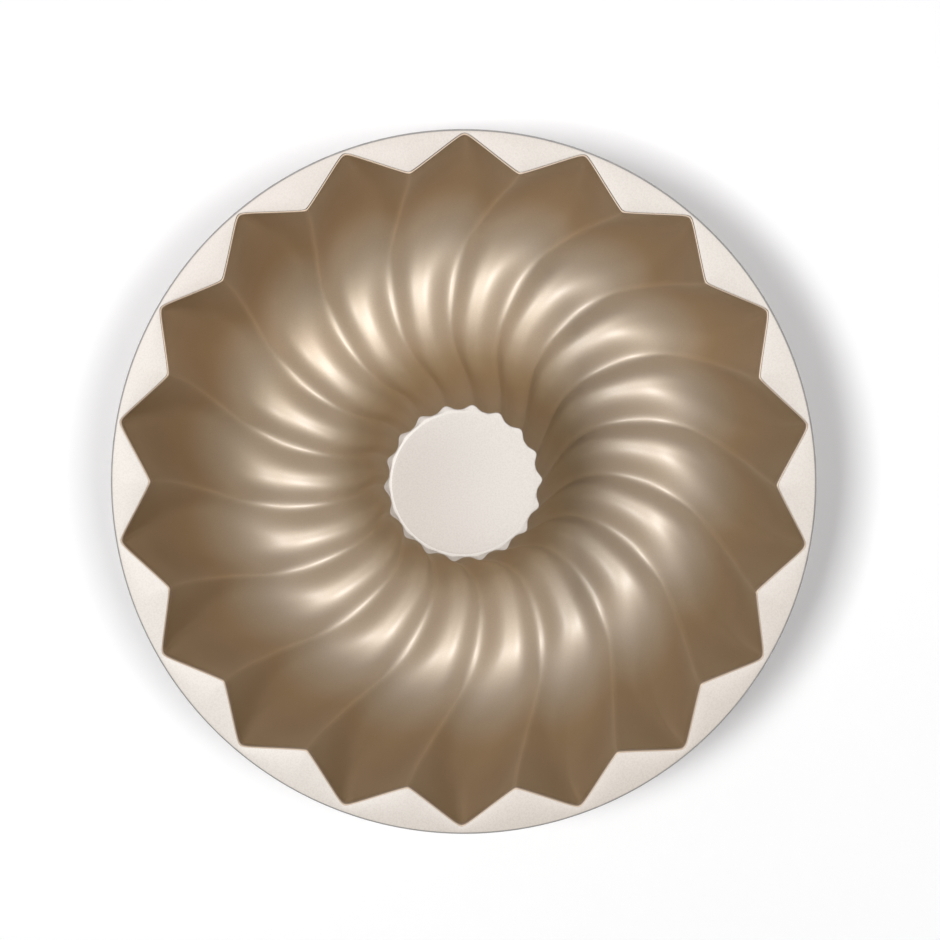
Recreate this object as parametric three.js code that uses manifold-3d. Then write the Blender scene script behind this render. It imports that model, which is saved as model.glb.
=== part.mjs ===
// Ring-cake baking mould: a fluted, swirled trough around a hollow centre tube, with a flat
// rim flange whose opening is an 18-pointed star, and a cap that closes the tube.
// Millimetres, +Z up. The origin is the centre of the ring of flats that the mould stands on,
// and one tip of the star points along +Y.
import * as THREE from 'three';
import { mergeVertices } from 'three/addons/utils/BufferGeometryUtils.js';
import loadManifold from 'manifold-3d';

// Overall sizes
const HEIGHT = 82; // standing plane to rim plane
const FLANGE_RADIUS = 130;
const FLUTES = 18;

// Sheet and fits
const WALL = 2; // bowl and tube
const CLEARANCE = 0.3; // between pieces that pass through or lap one another
const FOOT_FLAT = 1.1; // pressed flat off each flute where the mould stands
const FOOT_LENGTH = 10; // of the flat, along the flute

// Trough section, measured on the ridges between the flutes
const TROUGH_RADIUS = 72; // ring of lowest points
const TUBE_RIDGE_RADIUS = 29.2; // at the top of the tube
const WALL_DRAFT = 12.5; // degrees, at the rim
const WALL_REACH = 27; // how far the draft carries down before the wall turns in
const TUBE_DRAFT = 11; // degrees, at the top of the tube
const TUBE_REACH = 42;
const BOTTOM_REACH_OUT = 32; // flatness of the bottom toward the wall
const BOTTOM_REACH_IN = 36; // and toward the tube

// Depth of the flutes behind the ridges
const RIM_FLUTE = 12.4;
const CROWN_FLUTE = 4.2;
const TUBE_FLUTE = 1.8;
const CREASE_END = 0.5; // way down the wall where the sharp crease has become a round flute

// Turn of the flutes in degrees, counter-clockwise from above. The first number is the place
// on the section: -1 at the rim, 0 at the lowest ring and 1 at the top of the tube.
const SWIRL = [
  [-1, 0], [-0.8, 0.95], [-0.6, 2.76], [-0.4, 5.31], [-0.25, 8.41], [-0.12, 11.68],
  [0, 14.3], [0.1, 15.91], [0.2, 16.53], [0.36, 15.18], [0.65, 9.5], [1, 3.2],
];

// Flange, and the neck of the bowl that stands in its opening
const FLANGE_THICKNESS = 2.2;
const FLANGE_EDGE = 0.9; // edge rounding
const FLANGE_BORDER = 1.6; // from the tips of its opening to its edge
const NECK_WALL = 0.8;

// Seam between bowl and tube
const SEAM_HEIGHT = 32;
const LAP_LENGTH = 8;

// Cap
const CAP_PLATE = 1.4; // scalloped plate on the tube's top edge
const CAP_RISE = 0.8; // round disc standing on the plate
const CAP_INSET = 0.4; // from the notches of the plate to the disc
const CAP_EDGE = 0.7; // edge rounding of the disc
const CAP_SKIRT = 8; // depth of the skirt inside the tube
const CAP_SKIRT_WALL = 1.5;

// Fineness
const STEPS_PER_FLUTE = 6;
const WALL_STEPS = 9;
const INNER_STEPS = 4;
const TUBE_STEPS = 4;
const LATHE_STEPS = 108;

// Sizes that follow from those above: the neck fits the opening of the flange, and the disc the plate
const rimRidgeRadius = FLANGE_RADIUS - FLANGE_BORDER - CLEARANCE - NECK_WALL - RIM_FLUTE;
const capDiscRadius = TUBE_RIDGE_RADIUS - TUBE_FLUTE - CAP_INSET;

const rad = THREE.MathUtils.degToRad;
const lerp = THREE.MathUtils.lerp;
const { Manifold, Mesh: ManifoldMesh } = await loadManifold().then((lib) => (lib.setup(), lib));

// Smooth curve through a table of [place, value] pairs
function along(table, place) {
  let i = table.findIndex(([p]) => p > place) - 1;
  if (i < 0) i = table.length - 2;
  const slope = (k) => {
    const [a, b] = [table[Math.max(k - 1, 0)], table[Math.min(k + 1, table.length - 1)]];
    return (b[1] - a[1]) / (b[0] - a[0]);
  };
  const [[p0, v0], [p1, v1]] = [table[i], table[i + 1]];
  const span = p1 - p0;
  const t = (place - p0) / span;
  return (
    v0 * (1 + 2 * t) * (1 - t) ** 2 + v1 * t * t * (3 - 2 * t)
    + span * t * (1 - t) * (slope(i) * (1 - t) - slope(i + 1) * t)
  );
}

// Ridge section of the trough: one cubic curve from the lowest ring up to the rim, one up to the tube's top
const ridgeBottom = WALL - FOOT_FLAT + CROWN_FLUTE;
const lowest = new THREE.Vector2(TROUGH_RADIUS, ridgeBottom);
function halfSection(topRadius, topHeight, outward, draft, topReach, bottomReach) {
  const top = new THREE.Vector2(topRadius, topHeight);
  const upper = new THREE.Vector2(-outward * Math.sin(rad(draft)), -Math.cos(rad(draft)));
  return new THREE.CubicBezierCurve(
    lowest,
    new THREE.Vector2(TROUGH_RADIUS + outward * bottomReach, ridgeBottom),
    upper.multiplyScalar(topReach).add(top),
    top,
  );
}
const flangeUnderside = HEIGHT - FLANGE_THICKNESS;
const shoulder = flangeUnderside - CLEARANCE;
const plateUnderside = HEIGHT - CAP_RISE - CAP_PLATE;
const tubeTop = plateUnderside - CLEARANCE;
const wallSection = halfSection(
  rimRidgeRadius, shoulder, 1, WALL_DRAFT, WALL_REACH, BOTTOM_REACH_OUT,
);
const tubeSection = halfSection(
  TUBE_RIDGE_RADIUS, tubeTop, -1, TUBE_DRAFT, TUBE_REACH, BOTTOM_REACH_IN,
);

// Point of the ridge section and the direction out of the cavity, which is level at both ends
// so that rim and tube top come out flat
function section(place) {
  const outer = place < 0;
  const curve = outer ? wallSection : tubeSection;
  const end = Math.abs(place);
  const point = curve.getPoint(end);
  const tangent = curve.getTangent(end);
  const angle = Math.atan2(-Math.abs(tangent.x), tangent.y);
  const level = rad(outer ? WALL_DRAFT : TUBE_DRAFT) * end ** 3;
  return {
    point,
    away: new THREE.Vector2(Math.cos(angle + level) * (outer ? 1 : -1), Math.sin(angle + level)),
  };
}

// Depth of the flute behind the ridge; across runs from 0 at its middle to 1 at the ridge
function fluteDepth(place, across) {
  const half = Math.PI / FLUTES;
  const tipRadius = rimRidgeRadius + RIM_FLUTE;
  const straightSide =
    (tipRadius * rimRidgeRadius * Math.sin(half))
    / (tipRadius * Math.sin(half * across) + rimRidgeRadius * Math.sin(half * (1 - across)));
  const creased = (straightSide - rimRidgeRadius) / RIM_FLUTE;
  const round = 1 - across * across;
  const shape = lerp(creased, round, THREE.MathUtils.smoothstep(place, -1, -1 + CREASE_END));
  const depth = place < 0
    ? lerp(CROWN_FLUTE, RIM_FLUTE, (-place) ** 1.5)
    : lerp(CROWN_FLUTE, TUBE_FLUTE, THREE.MathUtils.smoothstep(place, 0, 1));
  return depth * shape;
}

// Radius and height of the sheet: behind is the distance behind the cavity's surface
function sheet(place, across, behind) {
  const { point, away } = section(place);
  const { x, y } = away.multiplyScalar(fluteDepth(place, across) + behind).add(point);
  return new THREE.Vector2(x, Math.max(y, 0));
}

const columns = Array.from({ length: FLUTES * STEPS_PER_FLUTE }, (_, i) => {
  const share = i / STEPS_PER_FLUTE;
  return { across: Math.abs(share - Math.round(share)) * 2, angle: rad(90) + share * 2 * Math.PI / FLUTES };
});

// Closed ring from a loop of stations { place, behind, lift }, swept round the axis with the flutes
function flutedRing(loop) {
  const positions = [];
  for (const { across, angle } of columns) {
    for (const { place, behind, lift = 0 } of loop) {
      const { x: radius, y: height } = sheet(place, across, behind);
      const turned = angle + rad(along(SWIRL, place));
      positions.push(radius * Math.cos(turned), radius * Math.sin(turned), height + lift);
    }
  }
  const count = loop.length;
  const index = [];
  columns.forEach((_, c) => {
    const next = (c + 1) % columns.length;
    for (let k = 0; k < count; k += 1) {
      const after = (k + 1) % count;
      const [a, b] = [c * count + k, c * count + after];
      const [d, e] = [next * count + k, next * count + after];
      index.push(a, e, b, a, d, e);
    }
  });
  const geometry = new THREE.BufferGeometry();
  geometry.setAttribute('position', new THREE.Float32BufferAttribute(positions, 3));
  geometry.setIndex(index);
  return geometry;
}

// Outline across the flutes at one place, as a shape in the XY plane
function outline(place, behind) {
  const turn = rad(along(SWIRL, place));
  return new THREE.Shape(columns.map(({ across, angle }) => {
    const radius = sheet(place, across, behind).x;
    return new THREE.Vector2(radius * Math.cos(angle + turn), radius * Math.sin(angle + turn));
  }));
}

function prism(shape, bottom, top) {
  const geometry = new THREE.ExtrudeGeometry(shape, { depth: top - bottom, bevelEnabled: false });
  return geometry.translate(0, 0, bottom);
}

// Revolved about Z from a closed list of [radius, height] pairs
function turned(pairs) {
  const points = [...pairs, pairs[0]].map(([radius, height]) => new THREE.Vector2(radius, height));
  return new THREE.LatheGeometry(points, LATHE_STEPS).rotateX(Math.PI / 2);
}

// Quarter round from one edge to the next, as [radius, height] pairs
function quarter(radius, height, size, fromDegrees) {
  return [0, 1, 2].map((i) => {
    const a = rad(fromDegrees + 45 * i);
    return [radius + size * Math.cos(a), height + size * Math.sin(a)];
  });
}

function solid(geometry) {
  geometry.deleteAttribute('normal');
  geometry.deleteAttribute('uv');
  const merged = mergeVertices(geometry, 1e-4);
  const triangles = Array.from({ length: merged.index.count / 3 }, (_, i) => (
    [0, 1, 2].map((k) => merged.index.getX(3 * i + k))
  )).filter(([a, b, c]) => a !== b && b !== c && c !== a);
  return new Manifold(new ManifoldMesh({
    numProp: 3,
    vertProperties: new Float32Array(merged.attributes.position.array),
    triVerts: new Uint32Array(triangles.flat()),
  }));
}

function surface(body) {
  const { vertProperties, triVerts } = body.getMesh();
  const geometry = new THREE.BufferGeometry();
  geometry.setAttribute('position', new THREE.BufferAttribute(vertProperties, 3));
  geometry.setIndex(new THREE.BufferAttribute(triVerts, 1));
  return geometry;
}

const spread = (from, to, steps) => (
  Array.from({ length: steps + 1 }, (_, i) => lerp(from, to, i / steps))
);

// Place on the tube's section at a height above the standing plane
function placeAtHeight(height) {
  let [low, high] = [0, 1];
  for (let i = 0; i < 40; i += 1) {
    const middle = (low + high) / 2;
    if (section(middle).point.y < height) low = middle;
    else high = middle;
  }
  return low;
}
const seam = placeAtHeight(SEAM_HEIGHT);
const seamSpeed = section(seam + 0.01).point.distanceTo(section(seam - 0.01).point) / 0.02;
const lapStart = seam - LAP_LENGTH / seamSpeed;
const seamGap = seam + CLEARANCE / seamSpeed;

// Bowl: neck through the flange, shoulder under it, wall and bottom as far as the seam
const footOut = FOOT_LENGTH / 2 / (3 * BOTTOM_REACH_OUT);
const footIn = FOOT_LENGTH / 2 / (3 * BOTTOM_REACH_IN);
const bowlPlaces = [
  ...spread(-1, -footOut, WALL_STEPS), 0, ...spread(footIn, lapStart, INNER_STEPS), seam,
];
const neckHeight = HEIGHT - shoulder;
const bowl = flutedRing([
  { place: -1, behind: 0, lift: neckHeight },
  ...bowlPlaces.map((place) => ({ place, behind: 0 })),
  ...bowlPlaces.map((place) => ({ place, behind: WALL })).reverse(),
  { place: -1, behind: NECK_WALL },
  { place: -1, behind: NECK_WALL, lift: neckHeight },
]);

// Tube: its wall carries on the bowl's surface, and its foot laps behind the bowl's edge
const tubePlaces = spread(seamGap, 1, TUBE_STEPS);
const lapFront = WALL + CLEARANCE;
const lapBack = lapFront + WALL;
const tube = flutedRing([
  { place: lapStart, behind: lapFront },
  { place: seam, behind: lapFront },
  ...tubePlaces.map((place) => ({ place, behind: 0 })),
  ...tubePlaces.slice(1).map((place) => ({ place, behind: WALL })).reverse(),
  { place: seamGap + WALL / seamSpeed, behind: lapBack },
  { place: seam, behind: lapBack },
  { place: lapStart, behind: lapBack },
]);

// Flange: flat ring on the bowl's shoulder, cut by the star that the neck stands in
const flangeRim = [
  ...quarter(FLANGE_RADIUS - FLANGE_EDGE, flangeUnderside + FLANGE_EDGE, FLANGE_EDGE, -90),
  ...quarter(FLANGE_RADIUS - FLANGE_EDGE, HEIGHT - FLANGE_EDGE, FLANGE_EDGE, 0),
];
const flangeInside = TROUGH_RADIUS;
const opening = prism(outline(-1, NECK_WALL + CLEARANCE), flangeUnderside - WALL, HEIGHT + WALL);
const flange = solid(turned([[flangeInside, flangeUnderside], ...flangeRim, [flangeInside, HEIGHT]]))
  .subtract(solid(opening));

// Cap: scalloped plate on the tube's top edge, a raised disc on it and a skirt inside the tube
const skirtRadius = TUBE_RIDGE_RADIUS - TUBE_FLUTE - WALL - CLEARANCE;
const plateTop = plateUnderside + CAP_PLATE;
const skirtEnd = tubeTop - CAP_SKIRT;
const disc = turned([
  [0, plateUnderside], [skirtRadius - CAP_SKIRT_WALL, plateUnderside],
  [skirtRadius - CAP_SKIRT_WALL, skirtEnd], [skirtRadius, skirtEnd],
  [skirtRadius, plateTop - CAP_PLATE / 2], [capDiscRadius, plateTop - CAP_PLATE / 2],
  ...quarter(capDiscRadius - CAP_EDGE, HEIGHT - CAP_EDGE, CAP_EDGE, 0),
  [0, HEIGHT],
]);
const cap = solid(prism(outline(1, 0), plateUnderside, plateTop)).add(solid(disc));

const bronze = { color: 0x8a7153, roughness: 0.35, metalness: 0.9 };
const cream = { color: 0xe6dfd6, roughness: 0.6, metalness: 0.1 };
function piece(name, geometry, finish) {
  const mesh = new THREE.Mesh(geometry, new THREE.MeshStandardMaterial(finish));
  mesh.name = name;
  return mesh;
}

const mould = new THREE.Group();
mould.name = 'baking_mould';
mould.add(
  piece('fluted_bowl', bowl, bronze),
  piece('center_tube', tube, bronze),
  piece('rim_flange', surface(flange), cream),
  piece('tube_cap', surface(cap), cream),
);

export default mould;
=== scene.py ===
import math

import bpy
import numpy as np
from mathutils import Matrix, Vector


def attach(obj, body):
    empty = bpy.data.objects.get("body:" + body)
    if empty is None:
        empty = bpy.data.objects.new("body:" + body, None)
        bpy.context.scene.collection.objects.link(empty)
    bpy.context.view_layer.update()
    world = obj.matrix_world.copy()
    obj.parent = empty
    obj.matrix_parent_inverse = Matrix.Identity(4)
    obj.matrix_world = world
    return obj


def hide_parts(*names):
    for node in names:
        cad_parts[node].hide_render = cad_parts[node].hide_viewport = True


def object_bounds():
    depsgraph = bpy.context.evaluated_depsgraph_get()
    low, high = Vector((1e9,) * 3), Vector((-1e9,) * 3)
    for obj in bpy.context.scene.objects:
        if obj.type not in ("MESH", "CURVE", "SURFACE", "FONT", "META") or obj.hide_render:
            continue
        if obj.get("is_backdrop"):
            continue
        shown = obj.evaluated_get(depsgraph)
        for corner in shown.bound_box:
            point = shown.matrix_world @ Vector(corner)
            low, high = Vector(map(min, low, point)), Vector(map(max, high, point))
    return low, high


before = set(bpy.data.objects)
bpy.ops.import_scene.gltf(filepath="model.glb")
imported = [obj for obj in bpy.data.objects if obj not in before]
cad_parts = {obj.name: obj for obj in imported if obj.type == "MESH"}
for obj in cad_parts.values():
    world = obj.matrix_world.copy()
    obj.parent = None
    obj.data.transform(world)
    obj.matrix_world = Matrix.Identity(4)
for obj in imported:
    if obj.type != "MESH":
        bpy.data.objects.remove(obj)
cad_low, cad_high = (list(corner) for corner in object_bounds())

# Swirled ring-cake mould: bronze inside, cream outside, seen from almost straight above.
# Sizes are in millimetres, as on the construction drawing, and become metres in the meshes.
MM = 0.001

# Overall sizes, from the frame
HEIGHT = cad_high[2] / MM
FLANGE_RADIUS = (cad_high[0] - cad_low[0]) / 2 / MM
FLUTES = 18

# Sheet and fits
WALL = 2.0
HAIRLINE = 0.01  # between pieces that touch
CLEARANCE = 0.3  # of the construction, which sets the shoulder and the tube's top
FOOT_FLAT = 1.1

# Trough section, measured on the ridges between the flutes
TROUGH_RADIUS = 72.0
TUBE_RIDGE_RADIUS = 29.2
WALL_DRAFT = 12.5
WALL_REACH = 27.0
TUBE_DRAFT = 11.0
TUBE_REACH = 42.0
BOTTOM_REACH_OUT = 32.0
BOTTOM_REACH_IN = 36.0

# Depth of the flutes behind the ridges
RIM_FLUTE = 12.4
CROWN_FLUTE = 4.2
TUBE_FLUTE = 1.8
RIM_GROWTH = 1.5  # power with which they deepen from the lowest ring to the rim
TUBE_FADE = 0.15  # place on the section where they begin to grow shallower toward the tube's top
FLARE_FLUTE = 0.9  # how much deeper they are on the flare of the tube,
FLARE_PLACE = 0.28  # at this place,
FLARE_WIDTH = 0.14  # and over this much of the section to either side
CREASE_CCW = (-0.85, -0.3)  # where the straight sides of the rim turn round, on either side of a ridge
CREASE_CW = (-1, -0.5)

# Turn of the flutes in degrees at places on the section: -1 at the rim, 0 at the lowest ring
# and 1 at the top of the tube
SWIRL = [
    (-1, 0), (-0.8, 0.95), (-0.6, 2.76), (-0.4, 5.31), (-0.25, 8.25), (-0.12, 11.4),
    (0, 14.3), (0.1, 15.91), (0.2, 16.53), (0.36, 15.18), (0.65, 9.5), (1, 3.2),
]

# Turn of the grooves past the middle between two ridges, in degrees
SKEW = [
    (-1, 0), (-0.75, -1.8), (-0.55, -2.6), (-0.4, -2.0), (-0.2, 0.6),
    (0, 0.6), (0.22, 0.9), (0.45, 0.7), (1, 0),
]

# Rounding of a ridge's two sides and of the star tips, as a share of half a flute's width
RIDGE_ROUND_CCW = [
    (-1, 0.045), (-0.6, 0.05), (-0.4, 0.06), (-0.2, 0.14), (-0.05, 0.38), (0.1, 0.54), (1, 0.6),
]
RIDGE_ROUND_CW = [
    (-1, 0.045), (-0.6, 0.28), (-0.4, 0.2), (-0.2, 0.2), (-0.05, 0.4), (0.05, 0.45),
    (0.25, 0.2), (0.5, 0.22), (1, 0.6),
]
RIDGE_EASE = (0.6, 0.4)  # how much lower the ridges run beside the lowest ring
RIDGE_EASE_PLACE = (0.23, 0.19)  # on the side of the wall and on the side of the tube
TIP_ROUND = 0.065
GROOVE_POWER = 2.4  # 2 makes the grooves parabolic, more makes them flatter in the middle

# Flange, and the lip of the bowl that stands in its opening
FLANGE_BORDER = 1.6
FLANGE_THICKNESS = 2.2
FLANGE_EDGE = 0.9
FLANGE_SHIFT = -0.8  # the flange's trimmed edge isn't quite true: this far along Y,
FLANGE_STRETCH = 1.004  # and this much longer along Y
NECK_WALL = 0.8
LIP_ROUND = (1.0, 0.5)  # on the side of -Y and on the side of +Y
LIP_GAP = 0.26  # between the lip and the flange on the side of +Y; they touch on the other side
EDGE_BREAK = 0.1  # small rounding of cut edges

# Seam between bowl and tube
SEAM_HEIGHT = 32.0
LAP_LENGTH = 8.0

# Cap
CAP_PLATE = 1.4
CAP_RISE = 0.8
CAP_INSET = 0.4
CAP_SHOULDER = 1.3  # how far the scallops roll down beside the disc, where they roll down most
CAP_SHOULDER_SIDE = 205  # direction of that side, in degrees from +X
CAP_FLUSH = 0.1  # how far they roll down on the opposite side
CAP_SKIRT = 8.0
CAP_SKIRT_WALL = 1.5
CAP_ROLL = 0.15  # how far the disc's own edge rolls down on the side of the shoulder
CAP_ROLL_WIDTH = 1.6
CAP_TURN = 1.5  # power with which the shoulder fades toward the opposite side
CAP_NOTCH_DROP = 0.15  # share of the shoulder's drop in the notches between the scallops
CAP_EASE = 0.4  # share of the straight slope in the roll from the disc to the scallops
CAP_EDGE_BANDS = 6  # bands of faces at the disc's edge in the painted highlight's paler tone
CAP_DISH = 0.4  # how far the disc sinks toward its middle

# Painted highlights: light lines along the ridges of the wall, where the lamps don't light them
RIDGE_STOPS = 13  # points of the line from the lowest ring to the rim
RIDGE_TURN = 20.0  # degrees, more than the largest turn of the wall's ridges

# Fineness
STEPS_PER_FLUTE = 36
COLUMN_CROWDING = 0.75  # how much closer columns stand at ridges and tips than elsewhere
WALL_STEPS = 90
TUBE_STEPS = 40
ROUND_STEPS = 5
CAP_ROLL_STEPS = 10
CAP_BRIM_STEPS = 8
CAP_DISH_STEPS = 14
BISECTIONS = 40
SECTION_STEP = 0.01  # for the slope of the section at the seam
SHARP_ANGLE = 40  # degrees between faces above which an edge is drawn sharp

# Sizes that follow from those above
neck_gap = NECK_WALL + CLEARANCE
rim_ridge_radius = FLANGE_RADIUS - FLANGE_BORDER - neck_gap - RIM_FLUTE
cap_disc_radius = TUBE_RIDGE_RADIUS - TUBE_FLUTE - CAP_INSET
ridge_bottom = WALL - FOOT_FLAT + CROWN_FLUTE
flange_underside = HEIGHT - FLANGE_THICKNESS
shoulder = flange_underside - CLEARANCE
plate_underside = HEIGHT - CAP_RISE - CAP_PLATE
tube_top = plate_underside - CLEARANCE


def along(table, place):
    """Smooth curve through a table of (place, value) pairs."""
    places, values = np.array(table, float).T
    run, rise = np.diff(places), np.diff(values)
    middle = (values[2:] - values[:-2]) / (places[2:] - places[:-2])
    slopes = np.concatenate(([rise[0] / run[0]], middle, [rise[-1] / run[-1]]))
    i = int(np.clip(np.searchsorted(places, place, side="right") - 1, 0, len(run) - 1))
    t = (place - places[i]) / run[i]
    ends = values[i] * (1 + 2 * t) * (1 - t) ** 2 + values[i + 1] * t * t * (3 - 2 * t)
    return ends + run[i] * t * (1 - t) * (slopes[i] * (1 - t) - slopes[i + 1] * t)


def smoothstep(value, low, high):
    t = min(max((value - low) / (high - low), 0.0), 1.0)
    return t * t * (3 - 2 * t)


def lerp(a, b, t):
    return a + (b - a) * t


def half_section(top_radius, top_height, outward, draft, top_reach, bottom_reach):
    """Control points of the cubic curve from the lowest ring up to the rim or the tube's top."""
    lean = math.radians(draft)
    return np.array([
        (TROUGH_RADIUS, ridge_bottom),
        (TROUGH_RADIUS + outward * bottom_reach, ridge_bottom),
        (top_radius - outward * math.sin(lean) * top_reach, top_height - math.cos(lean) * top_reach),
        (top_radius, top_height),
    ])


wall_section = half_section(rim_ridge_radius, shoulder, 1, WALL_DRAFT, WALL_REACH, BOTTOM_REACH_OUT)
tube_section = half_section(TUBE_RIDGE_RADIUS, tube_top, -1, TUBE_DRAFT, TUBE_REACH, BOTTOM_REACH_IN)


def section(place):
    """Point of the ridge section and the direction out of the cavity, level at both ends."""
    outer = place < 0
    curve, t = (wall_section if outer else tube_section), abs(place)
    weights = np.array([(1 - t) ** 3, 3 * t * (1 - t) ** 2, 3 * t * t * (1 - t), t ** 3])
    slope_weights = np.array([(1 - t) ** 2, 2 * t * (1 - t), t * t])
    tangent = slope_weights @ np.diff(curve, axis=0)
    level = math.radians(WALL_DRAFT if outer else TUBE_DRAFT) * t ** 3
    angle = math.atan2(-abs(tangent[0]), tangent[1]) + level
    return weights @ curve, np.array([math.cos(angle) * (1 if outer else -1), math.sin(angle)])


def rounded(place):
    """Across the flutes, 0 in the middle and 1 on the ridge, with both corners rounded."""
    inner = (np.hypot(column_across, TIP_ROUND) - TIP_ROUND) / (math.hypot(1, TIP_ROUND) - TIP_ROUND)
    ridge = np.where(column_side < 0, along(RIDGE_ROUND_CCW, place), along(RIDGE_ROUND_CW, place))
    return 1 - (np.hypot(1 - inner, ridge) - ridge) / (np.hypot(1, ridge) - ridge)


def flute_depth(place, across):
    """Depth of the flute behind the ridge: straight-sided at the rim, round further down."""
    half = math.pi / FLUTES
    tip_radius = rim_ridge_radius + RIM_FLUTE
    straight = (tip_radius * rim_ridge_radius * math.sin(half)) / (
        tip_radius * np.sin(half * across) + rim_ridge_radius * np.sin(half * (1 - across))
    )
    creased = (straight - rim_ridge_radius) / RIM_FLUTE
    turned = np.where(column_side < 0, smoothstep(place, *CREASE_CCW), smoothstep(place, *CREASE_CW))
    shape = lerp(creased, 1 - across ** GROOVE_POWER, turned)
    if place < 0:
        return lerp(CROWN_FLUTE, RIM_FLUTE, (-place) ** RIM_GROWTH) * shape
    flare = FLARE_FLUTE * math.exp(-((place - FLARE_PLACE) / FLARE_WIDTH) ** 2)
    return (lerp(CROWN_FLUTE, TUBE_FLUTE, smoothstep(place, TUBE_FADE, 1)) + flare) * shape


# Columns round the axis, in flutes from the tip on +Y, closer together at ridges and tips
even = np.arange(FLUTES * STEPS_PER_FLUTE) / STEPS_PER_FLUTE
shares = even - COLUMN_CROWDING * np.sin(4 * math.pi * even) / (4 * math.pi)
column_side = shares - np.round(shares)
column_across = np.abs(column_side) * 2
column_angle = math.pi / 2 + shares * 2 * math.pi / FLUTES


def fluted(place, behind, lift=0.0):
    """Loop of points round the axis on the sheet, in metres; behind is measured from the cavity."""
    point, away = section(place)
    across = rounded(place)
    ease, ease_place = (pair[place > 0] for pair in (RIDGE_EASE, RIDGE_EASE_PLACE))
    beside = (place / ease_place) ** 2
    offset = flute_depth(place, across) + ease * beside * math.exp(1 - beside) * across ** 2 + behind
    radius = point[0] + away[0] * offset
    height = np.maximum(point[1] + away[1] * offset, 0) + lift
    skew = math.radians(along(SKEW, place)) * (1 + np.cos(2 * math.pi * shares)) / 2
    angle = column_angle + math.radians(along(SWIRL, place)) + skew
    return np.stack([radius * np.cos(angle), radius * np.sin(angle), height], axis=1) * MM


def circle(radius, height):
    """Level circle with as many points as a fluted loop, in metres."""
    angle = column_angle
    flat = np.zeros_like(angle) + height
    return np.stack([radius * np.cos(angle), radius * np.sin(angle), flat], axis=1) * MM


def trimmed(radius, height):
    """Loop of the flange's outer edge."""
    return circle(radius, height) * (1, FLANGE_STRETCH, 1) + np.array([0, FLANGE_SHIFT, 0]) * MM


def arc(start, end):
    """Angles of a rounding, in radians."""
    return np.radians(np.linspace(start, end, ROUND_STEPS + 1))


def skin(name, loops, slots, closed=True):
    """Piece from loops joined by quads, one slot of its materials for each band between loops."""
    count, columns = len(loops), len(loops[0])
    bands = count if closed else count - 1
    row, column = np.meshgrid(np.arange(bands), np.arange(columns), indexing="ij")
    after, beside = (row + 1) % count, (column + 1) % columns
    corners = [row * columns + column, after * columns + column,
               after * columns + beside, row * columns + beside]
    faces = np.stack(corners, axis=-1).reshape(-1, 4).tolist()
    points = np.concatenate(loops).tolist()
    face_slots = np.repeat(slots[:bands], columns).tolist()
    if not closed:
        first, last = np.arange(columns), np.arange(columns) + (count - 1) * columns
        for loop, ring in ((loops[0], first), (loops[-1], last[::-1])):
            faces += [(int(a), int(b), len(points)) for a, b in zip(ring, np.roll(ring, -1))]
            face_slots += [slots[0]] * columns
            points.append(loop.mean(axis=0).tolist())
    mesh = bpy.data.meshes.new(name)
    mesh.from_pydata(points, [], faces)
    mesh.polygons.foreach_set("material_index", face_slots)
    mesh.polygons.foreach_set("use_smooth", [True] * len(faces))
    mesh.update()
    mesh.set_sharp_from_angle(angle=math.radians(SHARP_ANGLE))
    piece = bpy.data.objects.new(name, mesh)
    bpy.context.scene.collection.objects.link(piece)
    return piece


def dress(piece, materials, node):
    """Give a piece its materials and its place in the part."""
    for material in materials:
        piece.data.materials.append(material)
    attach(piece, "root")
    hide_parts(node)


WHITE, BLACK = (1.0, 1.0, 1.0), (0.0, 0.0, 0.0)
UP, ALONG_X, ALONG_Y = (0, 0, 1), (1, 0, 0), (0, 1, 0)


def greys(*stops):
    """Stops of a ramp in plain greys, from pairs of position and lightness."""
    return [(position, (lightness,) * 3) for position, lightness in stops]


def new_material(name):
    """Material with its nodes, links, object coordinates and shader."""
    material = bpy.data.materials.new(name)
    material.use_nodes = True
    nodes, links = material.node_tree.nodes, material.node_tree.links
    place = nodes.new("ShaderNodeTexCoord").outputs["Object"]
    return material, nodes, links, place, nodes["Principled BSDF"]


def noise(nodes, links, place, scale, detail, roughness=0.5):
    node = nodes.new("ShaderNodeTexNoise")
    node.inputs["Scale"].default_value = scale
    node.inputs["Detail"].default_value = detail
    node.inputs["Roughness"].default_value = roughness
    links.new(place, node.inputs["Vector"])
    return node.outputs["Fac"]


def ramp(nodes, links, value, stops):
    """Colour that follows a value from 0 to 1."""
    node = nodes.new("ShaderNodeValToRGB")
    elements = node.color_ramp.elements
    while len(elements) < len(stops):
        elements.new(0.5)
    for element, (position, color) in zip(elements, stops):
        element.position = position
        element.color = (*color, 1)
    links.new(value, node.inputs["Fac"])
    return node.outputs["Color"]


def spread(nodes, links, value, low, high):
    """Value from 0 to 1, spread over another range."""
    node = nodes.new("ShaderNodeMapRange")
    node.inputs["To Min"].default_value = low
    node.inputs["To Max"].default_value = high
    links.new(value, node.inputs["Value"])
    return node.outputs["Result"]


def vector_math(nodes, links, operation, vector, other=(0, 0, 0)):
    node = nodes.new("ShaderNodeVectorMath")
    node.operation = operation
    node.inputs[1].default_value = other
    links.new(vector, node.inputs[0])
    return node


def between(nodes, links, value, start, end):
    """Value that rises smoothly from 0 at the start to 1 at the end."""
    node = nodes.new("ShaderNodeMapRange")
    node.interpolation_type = "SMOOTHSTEP"
    node.inputs["From Min"].default_value = start
    node.inputs["From Max"].default_value = end
    links.new(value, node.inputs["Value"])
    return node.outputs["Result"]


def drift(nodes, links, place, direction, start, end):
    """Value from 0 to 1 along a direction, between two distances from the origin in metres."""
    distance = vector_math(nodes, links, "DOT_PRODUCT", place, direction).outputs["Value"]
    return between(nodes, links, distance, start, end)


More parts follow.
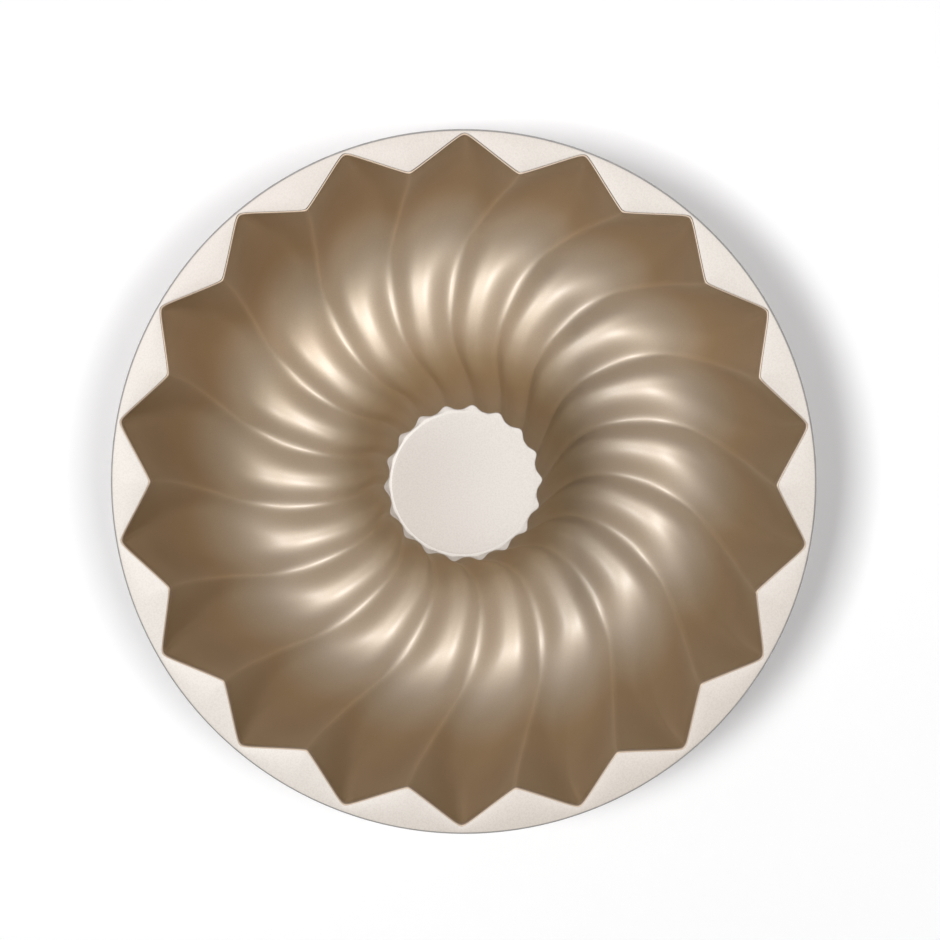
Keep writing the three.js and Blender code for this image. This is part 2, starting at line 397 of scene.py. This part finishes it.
def spread_out(nodes, links, place, start, end):
    """Value from 0 to 1 between two distances from the axis in metres."""
    level = vector_math(nodes, links, "MULTIPLY", place, (1, 1, 0)).outputs["Vector"]
    return between(nodes, links, vector_math(nodes, links, "LENGTH", level).outputs["Value"], start, end)


def blend(nodes, links, kind, first, second):
    """Colour made of two by a blend of the given kind."""
    node = nodes.new("ShaderNodeMix")
    node.data_type = "RGBA"
    node.blend_type = kind
    node.inputs["Factor"].default_value = 1.0
    links.new(first, node.inputs["A"])
    links.new(second, node.inputs["B"])
    return node.outputs["Result"]


def bump(nodes, links, height, distance, strength):
    node = nodes.new("ShaderNodeBump")
    node.inputs["Distance"].default_value = distance
    node.inputs["Strength"].default_value = strength
    links.new(height, node.inputs["Height"])
    return node.outputs["Normal"]


def math_node(nodes, links, operation, value, other=0.0):
    """Result of a calculation with numbers or sockets."""
    node = nodes.new("ShaderNodeMath")
    node.operation = operation
    for socket, given in zip(node.inputs, (value, other)):
        if isinstance(given, (int, float)):
            socket.default_value = given
        else:
            links.new(given, socket)
    return node.outputs["Value"]


def wall_ridges(nodes, links, place):
    """Distance from the nearest ridge of the wall, as a share of a flute's width."""
    split = nodes.new("ShaderNodeSeparateXYZ")
    links.new(place, split.inputs["Vector"])
    stops = []
    for step in np.linspace(0, -1, RIDGE_STOPS):
        turn = along(SWIRL, step) / RIDGE_TURN
        stops.append((section(step)[0][1] / HEIGHT, (turn, turn, turn)))
    turn = ramp(nodes, links, math_node(nodes, links, "DIVIDE", split.outputs["Z"], HEIGHT * MM), stops)
    angle = math_node(nodes, links, "ARCTAN2", split.outputs["Y"], split.outputs["X"])
    tips = math_node(nodes, links, "MULTIPLY", math_node(nodes, links, "SUBTRACT", angle, math.pi / 2),
                     FLUTES / (2 * math.pi))
    turned = math_node(nodes, links, "MULTIPLY", turn, RIDGE_TURN * FLUTES / 360)
    share = math_node(nodes, links, "FRACT", math_node(nodes, links, "SUBTRACT", tips, turned))
    return math_node(nodes, links, "ABSOLUTE", math_node(nodes, links, "SUBTRACT", share, 0.5))


# Tones of the bronze; heights, distances from the axis and reaches along a direction are in metres
# Painted light and shade by height: the base is paler and greyer on the crown, which catches the lamps' sheen,
# and deeper brown on the walls in shade
BRONZE_TONES = [(0.0, (0.69, 0.578, 0.449)), (1.0, (0.577, 0.403, 0.216))]
BRONZE_HEIGHTS = (0.004, 0.033)
LIP_TONES = [(0.0, BLACK), (1.0, (0.0, 0.035, 0.095))]  # added at the lip
LIP_HEIGHTS = (0.0805, 0.0816)
# Painted shade: the bronze darkens inward from the crown toward the tube, where its flanks lie in shade
TUBE_SHADE_TONES = [(0.0, (0.94, 0.92, 0.82)), (0.32, (0.865, 0.84, 0.74)), (1.0, WHITE)]
TUBE_SHADE_DISTANCES = (0.034, 0.058)
PAINTED_SIDE_REACH = (0.015, 0.105)
# Painted light: the bronze is lighter on the side of +Y, most on the crown there
PAINTED_LIGHT_Y_TONES = greys((0.0, 0.8), (0.26, 0.95), (0.74, 0.85), (1.0, 0.89))
# Painted shade: the bronze is darker on the side of +X, most on the flare of the tube there
PAINTED_SHADE_X_TONES = greys((0.0, 1.0), (0.26, 0.72), (0.8, 0.97), (1.0, 1.0))
LIFT_TONES = greys((0.0, 0.7), (1.0, 1.0))  # keeps the painted shade on the side of +X off the wall, so that it lies on the tube
LIFT_DISTANCES = (0.06, 0.095)
# Painted shade: a darker, warmer tone toward -X and a little toward +Y
WEST_SHADE_TONES = [(0.0, WHITE), (1.0, (0.95, 0.92, 0.87))]
WEST_SHADE_DIRECTION = (-0.9, 0.43, 0)
WEST_SHADE_REACH = (0.05, 0.085)
RIDGE_HIGHLIGHT_TONES = [(0.0, (0.1, 0.084, 0.062)), (0.012, (0.06, 0.05, 0.037)), (0.045, BLACK)]  # painted highlight added on the wall's ridges
RIDGE_HIGHLIGHT_DISTANCES = (0.08, 0.094)
CLOUD_SCALE, FLAKE_SCALE, PEEL_SCALE = 22, 2600, 700
BRONZE_ROUGHNESS = (0.59, 0.63)
BRONZE_METALLIC = 0.7
COAT_ROUGHNESS, COAT_IOR = 0.37, 1.55


def bronze_nonstick():
    """Satin non-stick coat with fine pearl flakes, its tones carrying painted light and shade: paler and greyer
    on the crown, which catches the lamps, deeper brown on the shaded walls, darker round the tube, on the side
    of +X and toward -X, lighter toward +Y, with painted highlights along the wall's ridges.
    """
    material, nodes, links, place, shader = new_material("bronze_nonstick")
    cloud = noise(nodes, links, place, CLOUD_SCALE, 3)
    flake = noise(nodes, links, place, FLAKE_SCALE, 2, 0.7)
    peel = noise(nodes, links, place, PEEL_SCALE, 2)
    # painted light and shade by height: paler crown, deeper brown walls
    tone = ramp(nodes, links, drift(nodes, links, place, UP, *BRONZE_HEIGHTS), BRONZE_TONES)
    lip = ramp(nodes, links, drift(nodes, links, place, UP, *LIP_HEIGHTS), LIP_TONES)
    # painted shade inward toward the tube
    tube = ramp(nodes, links, spread_out(nodes, links, place, *TUBE_SHADE_DISTANCES), TUBE_SHADE_TONES)
    # painted light on the side of +Y
    painted_light_y = ramp(nodes, links, drift(nodes, links, place, ALONG_Y, *PAINTED_SIDE_REACH), PAINTED_LIGHT_Y_TONES)
    # painted shade on the side of +X, kept off the wall by the blend with lift
    painted_shade_x = ramp(nodes, links, drift(nodes, links, place, ALONG_X, *PAINTED_SIDE_REACH), PAINTED_SHADE_X_TONES)
    lift = ramp(nodes, links, spread_out(nodes, links, place, *LIFT_DISTANCES), LIFT_TONES)
    # painted shade toward -X
    west_shade = ramp(nodes, links, drift(nodes, links, place, WEST_SHADE_DIRECTION, *WEST_SHADE_REACH), WEST_SHADE_TONES)
    # painted highlight along the ridges of the wall
    ridge_highlight = ramp(nodes, links, wall_ridges(nodes, links, place), RIDGE_HIGHLIGHT_TONES)
    on_wall = ramp(nodes, links, spread_out(nodes, links, place, *RIDGE_HIGHLIGHT_DISTANCES), [(0.0, BLACK), (1.0, WHITE)])
    layers = [
        ("ADD", lip), ("MULTIPLY", tube), ("MULTIPLY", painted_light_y),
        ("MULTIPLY", blend(nodes, links, "LIGHTEN", painted_shade_x, lift)), ("MULTIPLY", west_shade),
        ("ADD", blend(nodes, links, "MULTIPLY", ridge_highlight, on_wall)),
        ("MULTIPLY", ramp(nodes, links, cloud, greys((0.3, 0.95), (0.7, 1.0)))),
        ("MULTIPLY", ramp(nodes, links, flake, greys((0.35, 0.9), (0.65, 1.0)))),
    ]
    for kind, layer in layers:
        tone = blend(nodes, links, kind, tone, layer)
    links.new(tone, shader.inputs["Base Color"])
    links.new(spread(nodes, links, cloud, *BRONZE_ROUGHNESS), shader.inputs["Roughness"])
    links.new(bump(nodes, links, peel, 0.00004, 0.12), shader.inputs["Normal"])
    shader.inputs["Metallic"].default_value = BRONZE_METALLIC
    shader.inputs["Coat Weight"].default_value = 1.0
    shader.inputs["Coat Roughness"].default_value = COAT_ROUGHNESS
    shader.inputs["Coat IOR"].default_value = COAT_IOR
    return material


def cream_coat(name, tones, direction, reach):
    """Matte champagne enamel with a very fine speckle, its tone drifting a little to one side as painted light
    and shade.
    """
    material, nodes, links, place, shader = new_material(name)
    grain = noise(nodes, links, place, 1700, 3, 0.65)
    side = drift(nodes, links, place, direction, -reach, reach)
    ground = ramp(nodes, links, side, tones)
    speckle = ramp(nodes, links, grain, [(0.36, (0.9, 0.89, 0.88)), (0.58, WHITE)])
    links.new(blend(nodes, links, "MULTIPLY", ground, speckle), shader.inputs["Base Color"])
    links.new(spread(nodes, links, grain, 0.42, 0.5), shader.inputs["Roughness"])
    links.new(bump(nodes, links, grain, 0.00005, 0.15), shader.inputs["Normal"])
    shader.inputs["IOR"].default_value = 1.75
    return material


def edge_shade():
    """Darker grey metal on the flange's rounded outer edge: painted shade along the edge, which turns down away
    from the lamps.
    """
    material, nodes, links, place, shader = new_material("edge_shade")
    wear = noise(nodes, links, place, 320, 4, 0.6)
    tone = ramp(nodes, links, wear, [(0.3, (0.4, 0.385, 0.37)), (0.7, (0.5, 0.48, 0.46))])
    links.new(tone, shader.inputs["Base Color"])
    links.new(spread(nodes, links, wear, 0.4, 0.6), shader.inputs["Roughness"])
    links.new(bump(nodes, links, wear, 0.0001, 0.2), shader.inputs["Normal"])
    shader.inputs["Metallic"].default_value = 0.5
    return material


# Tones of the cream, the direction in which they change and how far from the axis; the change across the flange
# is painted light and shade
CREAM_TONES = [
    (0.0, (0.663, 0.603, 0.533)), (0.22, (0.64, 0.574, 0.504)), (0.78, (0.64, 0.575, 0.506)),
    (0.96, (0.674, 0.616, 0.549)), (1.0, (0.705, 0.65, 0.585)),
]
# Painted light and shade on the cap: darker toward -X and -Y, lighter toward +X and +Y
CAP_LIGHT_AND_SHADE_TONES = [(0.0, (0.542, 0.478, 0.415)), (1.0, (0.648, 0.596, 0.533))]
# Painted highlight on the disc's rolled edge, brightest toward -X and -Y
CAP_EDGE_HIGHLIGHT_TONES = [(0.0, (0.63, 0.58, 0.52)), (1.0, (0.74, 0.68, 0.61))]

bronze = bronze_nonstick()
# its tone drift is painted light and shade across the flange
cream = cream_coat("cream_coat", CREAM_TONES, (-0.866, -0.5, 0), 0.124)
# painted light and shade across the cap's disc
cap_cream = cream_coat("cap_cream", CAP_LIGHT_AND_SHADE_TONES, (0.9, 0.45, 0), 0.025)
# painted highlight on the disc's edge
cap_edge_highlight = cream_coat("cap_edge_highlight", CAP_EDGE_HIGHLIGHT_TONES, (-0.9, -0.42, 0), 0.027)
# painted shade on the flange's rounded outer edge
edge_shade_paint = edge_shade()

# Material slots: on the bowl and the tube, on the flange, and on the cap
INSIDE, OUTSIDE = 0, 1
COATED, EDGE_SHADE = 0, 1
PLAIN, HIGHLIGHTED = 0, 1
COATED_TOP, COATED_UNDER = 1, 3  # bands of the flange's rounded edge that keep the cream, on either side of the painted shade


def place_at_height(height):
    """Place on the tube's section at a height above the standing plane."""
    low, high = 0.0, 1.0
    for _ in range(BISECTIONS):
        middle = (low + high) / 2
        if section(middle)[0][1] < height:
            low = middle
        else:
            high = middle
    return low


seam = place_at_height(SEAM_HEIGHT)
seam_run = section(seam + SECTION_STEP)[0] - section(seam - SECTION_STEP)[0]
seam_speed = np.linalg.norm(seam_run) / (2 * SECTION_STEP)  # millimetres for each unit of place
lap_start = seam - LAP_LENGTH / seam_speed
neck_height = HEIGHT - shoulder


def build_bowl():
    """Lip, wall and bottom as far as the seam, then back along the outside."""
    far_side = (0.5 + 0.5 * np.sin(column_angle)) ** 2
    lip_out = neck_gap - lerp(HAIRLINE, LIP_GAP, far_side)
    lip_round = lerp(*LIP_ROUND, far_side)
    lip = [fluted(-1, lip_out - EDGE_BREAK / 2, neck_height)]
    lip += [fluted(-1, lip_round * (1 - math.cos(a)), neck_height - lip_round * (1 - math.sin(a)))
            for a in arc(90, 0)]
    places = np.concatenate((np.linspace(-1, 0, WALL_STEPS + 1),
                             np.linspace(0, seam, TUBE_STEPS + 1)[1:]))
    inside = [fluted(p, 0) for p in places]
    rise = CLEARANCE - HAIRLINE
    outside = [fluted(p, WALL) for p in places[::-1]] + [fluted(-1, WALL, rise)]
    neck = [fluted(-1, lip_out, rise), fluted(-1, lip_out, neck_height - EDGE_BREAK / 2)]
    loops = lip + inside + outside + neck
    coat = [INSIDE] * (len(lip) + len(inside) - 1)
    slots = coat + [OUTSIDE] * (len(loops) - len(coat) - 1) + [INSIDE]
    dress(skin("bowl_shell", loops, slots), [bronze, cream], "fluted_bowl")


def build_tube():
    """Fluted chimney whose foot laps behind the bowl's edge."""
    lap_front, lap_back = WALL + HAIRLINE, 2 * WALL + HAIRLINE
    places = np.linspace(seam + HAIRLINE / seam_speed, 1, TUBE_STEPS + 1)
    rise = CLEARANCE - HAIRLINE
    inside = [fluted(p, 0) for p in places] + [fluted(1, 0, rise)]
    outside = [fluted(1, WALL, rise)] + [fluted(p, WALL) for p in places[:0:-1]]
    foot = [fluted(seam + WALL / seam_speed, lap_back), fluted(seam, lap_back),
            fluted(lap_start, lap_back), fluted(lap_start, lap_front), fluted(seam, lap_front)]
    loops = inside + outside + foot
    slots = [INSIDE] * len(inside) + [OUTSIDE] * (len(loops) - len(inside))
    dress(skin("tube_shell", loops, slots), [bronze, cream], "center_tube")


def build_flange():
    """Flat ring with a rounded edge and a star-shaped opening."""
    low, high = flange_underside - shoulder, neck_height
    star = [fluted(-1, neck_gap + EDGE_BREAK, low), fluted(-1, neck_gap, low + EDGE_BREAK)]
    star += [fluted(-1, neck_gap + EDGE_BREAK * (1 - math.cos(a)), high - EDGE_BREAK * (1 - math.sin(a)))
             for a in arc(0, 90)]
    centre = FLANGE_RADIUS - FLANGE_EDGE
    rim = [trimmed(centre + FLANGE_EDGE * math.cos(a), HEIGHT - FLANGE_EDGE * (1 - math.sin(a)))
           for a in arc(90, 0)]
    rim += [trimmed(centre + FLANGE_EDGE * math.cos(a), flange_underside + FLANGE_EDGE * (1 + math.sin(a)))
            for a in arc(0, -90)]
    loops = star + rim
    # the rounded outer edge between the cream bands takes the painted shade
    slots = [COATED] * (len(star) + COATED_TOP) + [EDGE_SHADE] * (len(rim) - COATED_TOP - COATED_UNDER)
    slots += [COATED] * COATED_UNDER
    dress(skin("rim_ring", loops, slots), [cream, edge_shade_paint], "rim_flange")


def build_cap():
    """Scalloped plate with a dished disc that lies a little askew, and a skirt inside the tube."""
    low = plate_underside - tube_top
    skirt_radius = TUBE_RIDGE_RADIUS - TUBE_FLUTE - WALL - CLEARANCE
    skirt_end = tube_top - CAP_SKIRT
    edge = CAP_PLATE / 4
    turn = (0.5 + 0.5 * np.cos(column_angle - math.radians(CAP_SHOULDER_SIDE))) ** CAP_TURN
    edge_drop = CAP_ROLL * turn
    drop = lerp(CAP_FLUSH, CAP_SHOULDER, turn) * lerp(CAP_NOTCH_DROP, 1, rounded(1))
    high = HEIGHT - tube_top - drop
    plate = [fluted(1, edge * (1 - math.cos(a)), low + edge * (1 + math.sin(a))) for a in arc(-90, 0)]
    plate += [fluted(1, edge * (1 - math.cos(a)), high - edge * (1 - math.sin(a))) for a in arc(0, 90)]
    disc_edge, roll = circle(cap_disc_radius, HEIGHT - edge_drop), []
    for share in np.linspace(1, 0, CAP_ROLL_STEPS + 1)[1:-1]:
        loop = lerp(disc_edge, plate[-1], share)
        loop[:, 2] = (HEIGHT - lerp(edge_drop, drop, share * lerp(CAP_EASE, 1, share))) * MM
        roll.append(loop)
    brim = [circle(cap_disc_radius - CAP_ROLL_WIDTH * s, HEIGHT - edge_drop * (1 - s) ** 2)
            for s in np.linspace(0, 1, CAP_BRIM_STEPS + 1)[1:]]
    shares_in = np.linspace(1 - CAP_ROLL_WIDTH / cap_disc_radius, 0, CAP_DISH_STEPS + 1)[1:-1]
    dish = [circle(cap_disc_radius * s, HEIGHT - CAP_DISH * (1 - s * s) ** 2) for s in shares_in]
    inside_radius = skirt_radius - CAP_SKIRT_WALL
    under = [circle(inside_radius * s, plate_underside) for s in shares_in[::-1]]
    skirt = [circle(inside_radius, plate_underside), circle(inside_radius, skirt_end),
             circle(skirt_radius, skirt_end), circle(skirt_radius, plate_underside)]
    below = under + skirt + plate + roll[:-2]
    loops = below + roll[-2:] + [disc_edge] + brim + dish
    # the bands at the disc's edge take the painted highlight
    slots = [PLAIN] * len(below) + [HIGHLIGHTED] * CAP_EDGE_BANDS
    slots += [PLAIN] * (len(loops) - len(slots))
    dress(skin("cap_plate", loops, slots, closed=False), [cap_cream, cap_edge_highlight], "tube_cap")


build_bowl()
build_tube()
build_flange()
build_cap()


# Stage, in metres
FLOOR_SIZE = 6.0
FLOOR_DROP = 0.0002
FLOOR_TONES = greys((0.3, 0.985), (0.7, 0.995))
SOFTBOX_DISTANCE = 2.6
SOFTBOX_SIZE = 0.5
SOFTBOX_LEAN_Y = 2.6  # degrees
SKY_DIRECTION = (-0.5, 0.866, 0)
SKY_TONES = [(0.0, (0.05, 0.05, 0.055)), (0.5, (0.04, 0.04, 0.045)), (1.0, (0.33, 0.33, 0.36))]


def build_floor():
    mesh = bpy.data.meshes.new("floor")
    half = FLOOR_SIZE / 2
    corners = [(-half, -half, -FLOOR_DROP), (half, -half, -FLOOR_DROP),
               (half, half, -FLOOR_DROP), (-half, half, -FLOOR_DROP)]
    mesh.from_pydata(corners, [], [(0, 1, 2, 3)])
    floor = bpy.data.objects.new("floor", mesh)
    bpy.context.scene.collection.objects.link(floor)
    material, nodes, links, place, shader = new_material("pale_floor")
    tone = ramp(nodes, links, noise(nodes, links, place, 8, 2), FLOOR_TONES)
    links.new(tone, shader.inputs["Base Color"])
    shader.inputs["Roughness"].default_value = 0.9
    shader.inputs["Specular IOR Level"].default_value = 0.0
    floor.data.materials.append(material)
    floor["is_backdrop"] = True


def softbox(name, lean_x, irradiance):
    """Square lamp aimed at the rim's centre; irradiance 1 renders white paper as white."""
    data = bpy.data.lights.new(name, "AREA")
    data.shape = "SQUARE"
    data.size = SOFTBOX_SIZE
    data.energy = irradiance * math.pi * SOFTBOX_DISTANCE ** 2 * math.pi
    lamp = bpy.data.objects.new(name, data)
    leans = (math.tan(math.radians(lean)) for lean in (lean_x, SOFTBOX_LEAN_Y))
    toward = Vector((*leans, 1)).normalized()
    lamp.location = Vector((0, 0, HEIGHT * MM)) + toward * SOFTBOX_DISTANCE
    lamp.rotation_euler = toward.to_track_quat("Z", "Y").to_euler()
    bpy.context.scene.collection.objects.link(lamp)


def build_world():
    world = bpy.data.worlds.new("studio")
    bpy.context.scene.world = world
    world.use_nodes = True
    nodes, links = world.node_tree.nodes, world.node_tree.links
    toward = nodes.new("ShaderNodeTexCoord").outputs["Generated"]
    sky = ramp(nodes, links, drift(nodes, links, toward, SKY_DIRECTION, -1, 1), SKY_TONES)
    links.new(sky, nodes["Background"].inputs["Color"])


# The camera stands over the rim's centre, leaning a little toward +Y and +X
CAMERA_DISTANCE = 1.1
CAMERA_LEAN_X = 0.85
CAMERA_LEAN_Y = 5.9
CAMERA_ROLL = 0.24
IMAGE_SIDE = 940  # pixels
FOCAL_PIXELS = 2988
RIM_CENTRE_PIXEL = (463.1, 483.6)


def build_camera():
    data = bpy.data.cameras.new("camera")
    data.lens = data.sensor_width * FOCAL_PIXELS / IMAGE_SIDE
    camera = bpy.data.objects.new("camera", data)
    lean_x, lean_y = math.sin(math.radians(CAMERA_LEAN_X)), math.sin(math.radians(CAMERA_LEAN_Y))
    back = Vector((lean_x, lean_y, math.sqrt(1 - lean_x ** 2 - lean_y ** 2)))
    roll = math.radians(CAMERA_ROLL)
    right = Vector((-math.sin(roll), math.cos(roll), 0)).cross(back).normalized()
    up = back.cross(right)
    rim_centre = Vector((0, 0, HEIGHT * MM))
    location = rim_centre + back * CAMERA_DISTANCE
    middle = IMAGE_SIDE / 2
    scale = CAMERA_DISTANCE / FOCAL_PIXELS
    aside, above = middle - RIM_CENTRE_PIXEL[0], RIM_CENTRE_PIXEL[1] - middle
    aim = rim_centre + right * aside * scale + up * above * scale
    back = (location - aim).normalized()
    right = up.cross(back).normalized()
    up = back.cross(right)
    camera.matrix_world = Matrix.Translation(location) @ Matrix((right, up, back)).transposed().to_4x4()
    bpy.context.scene.collection.objects.link(camera)
    bpy.context.scene.camera = camera


build_floor()
build_world()
softbox("softbox_left", -14.8, 0.62)
softbox("softbox_right", 14.1, 0.371)
build_camera()
bpy.context.scene.view_settings.view_transform = "Standard"
